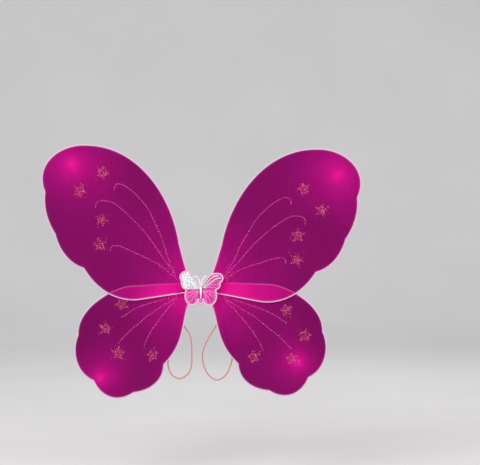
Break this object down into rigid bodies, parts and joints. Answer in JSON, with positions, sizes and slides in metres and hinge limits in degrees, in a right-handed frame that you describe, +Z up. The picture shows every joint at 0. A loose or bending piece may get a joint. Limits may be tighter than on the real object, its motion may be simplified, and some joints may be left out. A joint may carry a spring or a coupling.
{
  "type": "fairy wings",
  "caption": "Costume fairy wings: pink nylon stretched over hinged wire frames, with a butterfly at the hub and two elastic shoulder straps.",
  "frame": {"origin": "on the flat rear face of the hub's back patch, level with the stems; the patch rests on the wearer's back", "axes": "+Z up as worn, +X to the right seen from the front, +Y out of the back face towards the wearer"},
  "size_m": [0.4777, 0.0202, 0.3807],
  "materials": {
    "dyed_nylon": "sheer dyed stocking nylon",
    "frame_wire": "pale pink coated wire",
    "crimp_sleeve": "crimped",
    "strap_elastic": "round woven elastic",
    "binding_thread": "wound thread",
    "satin_ribbon": "satin ribbon",
    "felt": "felt",
    "pink_satin": "padded satin",
    "silver_glitter_cloth": "sequinned cloth",
    "embroidered_edge": "embroidered satin stitch",
    "pale_cord": "twisted cord",
    "star_glitter": "glued glitter flakes"
  },
  "bodies": {
    "hub": {"centre_core": "binding_thread", "centre_ribbon_wrap": "satin_ribbon", "back_patch": "felt", "butterfly_felt_backing": "felt", "butterfly_body": "pale_cord", "butterfly_upper_left_edge": "embroidered_edge", "butterfly_upper_left_pad": "silver_glitter_cloth", "butterfly_upper_right_edge": "embroidered_edge", "butterfly_upper_right_pad": "pink_satin", "butterfly_lower_left_edge": "embroidered_edge", "butterfly_lower_left_pad": "pink_satin", "butterfly_lower_right_edge": "embroidered_edge", "butterfly_lower_right_pad": "pink_satin", "butterfly_antenna_left": "pale_cord", "butterfly_antenna_right": "pale_cord"},
    "left_upper_wing": {"left_upper_frame_wire": "frame_wire", "left_upper_wire_sleeve": "crimp_sleeve", "left_upper_nylon": "dyed_nylon", "left_upper_nylon_gather": "dyed_nylon"},
    "left_lower_wing": {"left_lower_frame_wire": "frame_wire", "left_lower_wire_sleeve": "crimp_sleeve", "left_lower_nylon": "dyed_nylon", "left_lower_nylon_gather": "dyed_nylon"},
    "left_root": {"left_stem_binding": "binding_thread", "left_stem_neck": "satin_ribbon", "left_strap": "strap_elastic", "left_strap_knot": "strap_elastic"},
    "right_upper_wing": {"right_upper_frame_wire": "frame_wire", "right_upper_wire_sleeve": "crimp_sleeve", "right_upper_nylon": "dyed_nylon", "right_upper_nylon_gather": "dyed_nylon"},
    "right_lower_wing": {"right_lower_frame_wire": "frame_wire", "right_lower_wire_sleeve": "crimp_sleeve", "right_lower_nylon": "dyed_nylon", "right_lower_nylon_gather": "dyed_nylon"},
    "right_root": {"right_stem_binding": "binding_thread", "right_stem_neck": "satin_ribbon", "right_strap": "strap_elastic", "right_strap_knot": "strap_elastic"}
  },
  "joints": [
    {"name": "left_flap", "type": "hinge", "parent": "hub", "child": "left_root", "pos_m": [-0.0085, -0.001, 0], "axis": [0, 0, -1], "range_deg": [-6, 85]},
    {"name": "right_flap", "type": "hinge", "parent": "hub", "child": "right_root", "pos_m": [0.0085, -0.001, 0], "axis": [0, 0, 1], "range_deg": [-6, 85]},
    {"name": "left_upper_fan", "type": "hinge", "parent": "left_root", "child": "left_upper_wing", "pos_m": [-0.015, -0.01, 0], "axis": [0, 1, 0], "range_deg": [-20, 8]},
    {"name": "left_lower_fan", "type": "hinge", "parent": "left_root", "child": "left_lower_wing", "pos_m": [-0.015, -0.0055, 0], "axis": [0, 1, 0], "range_deg": [-12, 65]},
    {"name": "right_upper_fan", "type": "hinge", "parent": "right_root", "child": "right_upper_wing", "pos_m": [0.015, -0.01, 0], "axis": [0, -1, 0], "range_deg": [-20, 8]},
    {"name": "right_lower_fan", "type": "hinge", "parent": "right_root", "child": "right_lower_wing", "pos_m": [0.015, -0.0055, 0], "axis": [0, -1, 0], "range_deg": [-12, 65]}
  ]
}
